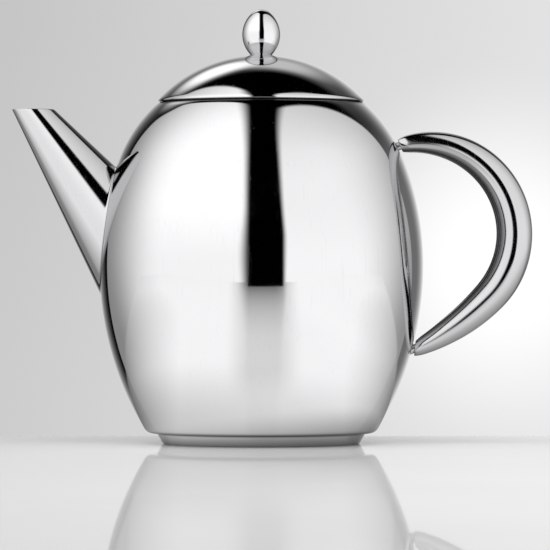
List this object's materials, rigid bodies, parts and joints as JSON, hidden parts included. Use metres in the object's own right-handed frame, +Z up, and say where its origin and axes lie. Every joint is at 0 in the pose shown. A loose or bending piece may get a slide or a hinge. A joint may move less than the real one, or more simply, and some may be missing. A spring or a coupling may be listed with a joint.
{
  "type": "teapot",
  "caption": "Egg-shaped double-walled steel teapot with a straight conical spout, hollow bow handle, lift-off domed lid with knob, and a lift-out perforated tea basket.",
  "frame": {"origin": "on the body's axis, level with the table the foot stands on", "axes": "+Z up along the body's axis; the handle is on +X and the spout on -X; the XZ plane is the plane of symmetry"},
  "size_m": [0.2092, 0.13, 0.1743],
  "materials": {
    "polished_steel": "mirror polish",
    "brushed_steel": "satin, turned",
    "basket_steel": "bright pickled",
    "weld_steel": "as welded, buffed",
    "fastener_steel": "plain"
  },
  "bodies": {
    "pot": {"outer_shell": "polished_steel", "inner_liner": "brushed_steel", "base_cap": "polished_steel", "spout": "polished_steel", "spout_sleeve": "brushed_steel", "handle_near_half": "polished_steel", "handle_far_half": "polished_steel", "handle_upper_stud": "weld_steel", "handle_lower_stud": "weld_steel"},
    "lid": {"lid_dome": "polished_steel", "lid_liner": "brushed_steel", "knob": "polished_steel", "knob_screw": "fastener_steel", "knob_washer": "fastener_steel"},
    "basket": {"infuser_rim": "basket_steel", "infuser_wall": "basket_steel", "infuser_floor": "basket_steel"}
  },
  "joints": [
    {"name": "lid_lift", "type": "slide", "parent": "pot", "child": "lid", "axis": [0, 0, 1], "range_m": [0, 0.18]},
    {"name": "basket_lift", "type": "slide", "parent": "pot", "child": "basket", "axis": [0, 0, 1], "range_m": [0, 0.09]}
  ],
  "couplings": [
    {"joint": "basket_lift", "follows": "lid_lift", "ratio": 0.5}
  ]
}
